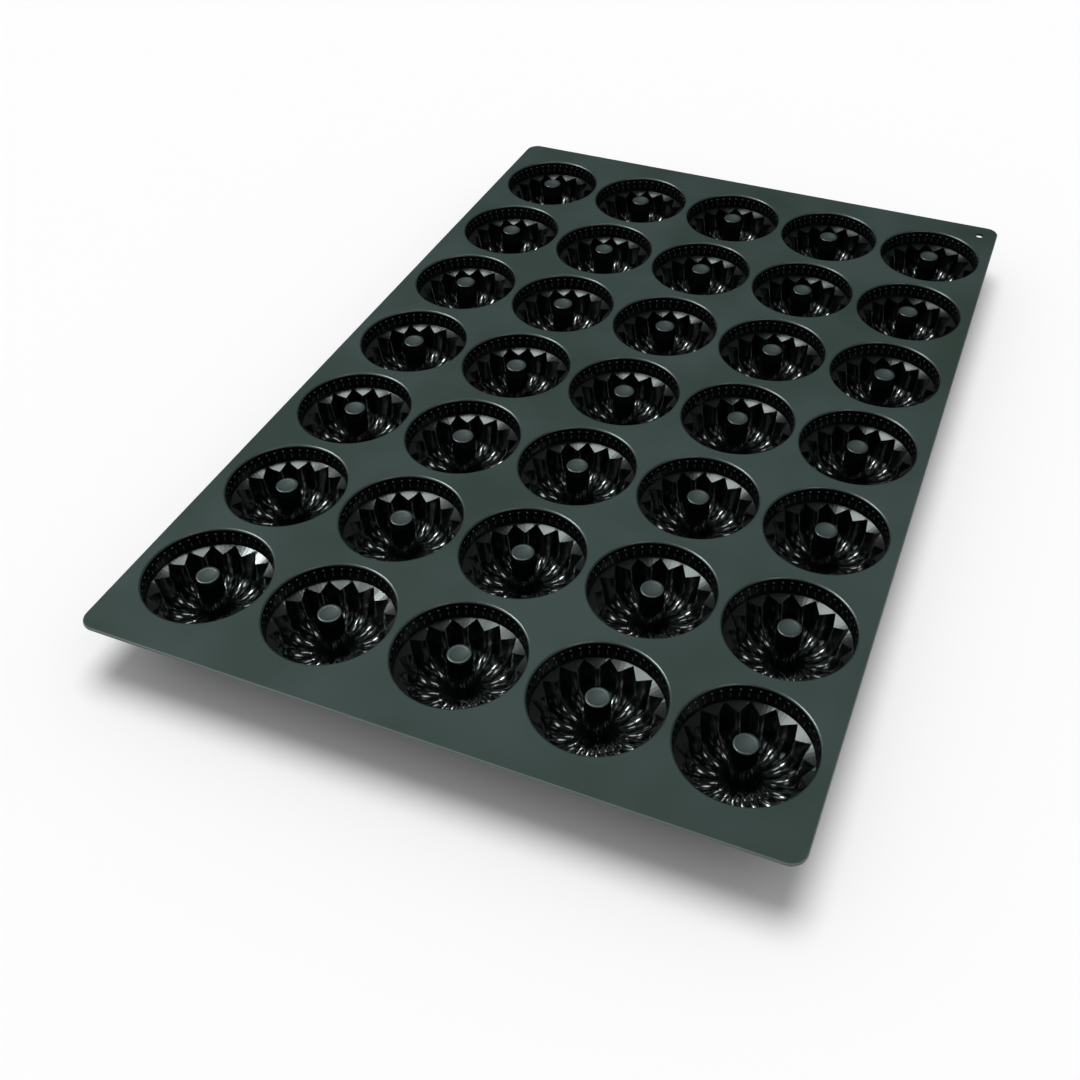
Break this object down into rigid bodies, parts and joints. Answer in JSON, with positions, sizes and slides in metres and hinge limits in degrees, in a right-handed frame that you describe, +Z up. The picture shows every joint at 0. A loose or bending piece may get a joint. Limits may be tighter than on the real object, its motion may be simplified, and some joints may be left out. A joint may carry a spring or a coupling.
{
  "type": "silicone mini bundt mould",
  "caption": "Flexible baking mould: one soft sheet with rows of deep round cups, each with a smooth collar, pointed flutes and a centre tube, and a hanging hole in one corner.",
  "frame": {"origin": "centre of the sheet in plan, at the height of the table that the cups stand on", "axes": "+Z up out of the cups, +Y along the long side to the edge with the hanging hole, +X along the short side"},
  "size_m": [0.4, 0.6, 0.037],
  "materials": {
    "silicone": "satin"
  },
  "bodies": {
    "root": {"mould": "silicone"}
  },
  "joints": []
}
